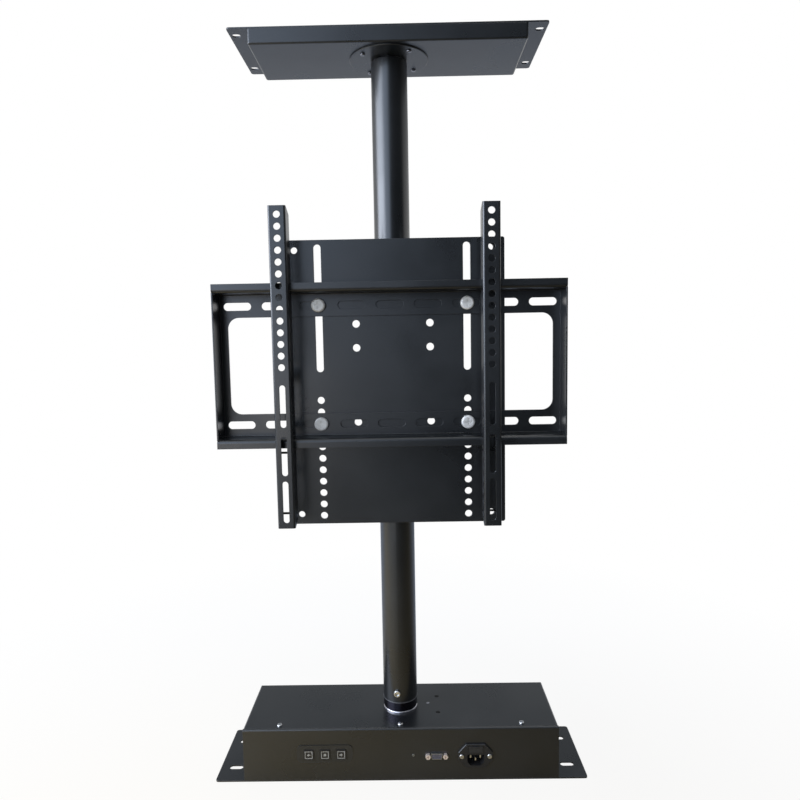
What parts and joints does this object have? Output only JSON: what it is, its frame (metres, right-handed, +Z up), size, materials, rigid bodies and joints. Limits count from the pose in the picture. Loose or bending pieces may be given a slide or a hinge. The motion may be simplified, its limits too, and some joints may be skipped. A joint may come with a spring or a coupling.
{
  "type": "television swivel column",
  "caption": "Motorised swivelling television column with a drive box and slotted base, a pole on a turning hub, a hanging top tray and a bracket with sliding hooked arms.",
  "frame": {"origin": "on the pole's axis, on the underside of the base plate", "axes": "+Z up along the pole, -Y to the front where the keys and the television bracket are, +X to the right seen from the front"},
  "size_m": [0.54, 0.1869, 1.0485],
  "materials": {
    "black_coat": "semi-gloss powder coat",
    "screw_steel": "bright plated",
    "dark_screws": "satin",
    "bearing_steel": "ground",
    "bush_metal": "turned",
    "plain_steel": "plain",
    "housing_iron": "machined",
    "pinion_brass": "plain",
    "motor_case": "satin",
    "black_plastic": "moulded",
    "port_plastic": "moulded",
    "blade_nickel": "plated",
    "key_plastic": "satin",
    "grey_plastic": "moulded",
    "lamp_lens": "clear",
    "board_green": "lacquered",
    "standoff_plastic": "plain",
    "board_dark": "moulded",
    "fuse_glass": "clear"
  },
  "bodies": {
    "frame": {"base_chassis": "black_coat", "front_panel": "black_coat", "top_cover": "black_coat", "cover_screws": "screw_steel", "key_bezel": "black_plastic", "key_switches": "black_plastic", "key_board": "board_green", "status_lamp": "lamp_lens", "port_shell": "plain_steel", "port_insert": "port_plastic", "port_pins": "pinion_brass", "port_posts": "screw_steel", "mains_inlet": "black_plastic", "inlet_blades": "blade_nickel", "inlet_screws": "screw_steel", "drive_motor": "motor_case", "motor_hanger": "plain_steel", "hanger_screws": "dark_screws", "lower_housing": "housing_iron", "lower_housing_screws": "screw_steel", "lower_bearing_outer": "bearing_steel", "lower_bearing_balls": "bearing_steel", "hub_bush": "bush_metal", "limit_switches": "black_plastic", "limit_bracket": "plain_steel", "control_board": "board_green", "board_standoffs": "standoff_plastic", "board_parts": "board_dark", "power_supply": "motor_case"},
    "column": {"spindle": "black_coat", "driven_gear": "plain_steel", "limit_cam": "plain_steel", "lower_bearing_inner": "bearing_steel", "pole": "black_coat", "pole_lock_screws": "screw_steel", "upper_journal": "screw_steel", "upper_bearing_inner": "bearing_steel", "clamp_saddles": "black_coat", "clamp_straps": "black_coat", "clamp_bolts": "screw_steel", "backing_plate": "black_coat", "wall_plate": "black_coat", "wall_bolts": "screw_steel", "wall_nuts": "screw_steel"},
    "tray": {"upper_bearing_outer": "bearing_steel", "upper_bearing_balls": "bearing_steel", "upper_housing": "black_coat", "disc_screws": "dark_screws", "tray_pan": "black_coat", "tray_plate": "black_coat"},
    "pinion": {"drive_pinion": "pinion_brass"},
    "left_arm": {"left_arm": "black_coat", "left_arm_pins": "screw_steel"},
    "right_arm": {"right_arm": "black_coat", "right_arm_pins": "screw_steel"},
    "left_key": {"left_key": "key_plastic"},
    "stop_key": {"stop_key": "key_plastic"},
    "right_key": {"right_key": "key_plastic"},
    "fuse_drawer": {"fuse_drawer": "grey_plastic", "fuse": "fuse_glass"}
  },
  "joints": [
    {"name": "column_turn", "type": "hinge", "parent": "frame", "child": "column", "pos_m": [0, 0, 0.08], "axis": [0, 0, 1], "range_deg": [-165, 165]},
    {"name": "tray_turn", "type": "hinge", "parent": "column", "child": "tray", "pos_m": [0, 0, 1.035], "axis": [0, 0, 1], "range_deg": [-165, 165]},
    {"name": "pinion_spin", "type": "hinge", "parent": "frame", "child": "pinion", "pos_m": [0.05625, 0, 0.066], "axis": [0, 0, 1], "range_deg": [-665, 665]},
    {"name": "left_arm_slide", "type": "slide", "parent": "column", "child": "left_arm", "axis": [1, 0, 0], "range_m": [-0.075, 0.06]},
    {"name": "right_arm_slide", "type": "slide", "parent": "column", "child": "right_arm", "axis": [1, 0, 0], "range_m": [-0.06, 0.085]},
    {"name": "left_key_press", "type": "slide", "parent": "frame", "child": "left_key", "axis": [0, 1, 0], "range_m": [0, 0.001], "stiffness_N_per_m": 1000, "springref_m": -0.0005},
    {"name": "stop_key_press", "type": "slide", "parent": "frame", "child": "stop_key", "axis": [0, 1, 0], "range_m": [0, 0.001], "stiffness_N_per_m": 1000, "springref_m": -0.0005},
    {"name": "right_key_press", "type": "slide", "parent": "frame", "child": "right_key", "axis": [0, 1, 0], "range_m": [0, 0.001], "stiffness_N_per_m": 1000, "springref_m": -0.0005},
    {"name": "fuse_drawer_slide", "type": "slide", "parent": "frame", "child": "fuse_drawer", "axis": [0, -1, 0], "range_m": [0, 0.015]}
  ],
  "couplings": [
    {"joint": "pinion_spin", "follows": "column_turn", "ratio": -4},
    {"joint": "tray_turn", "follows": "column_turn", "ratio": -1}
  ]
}
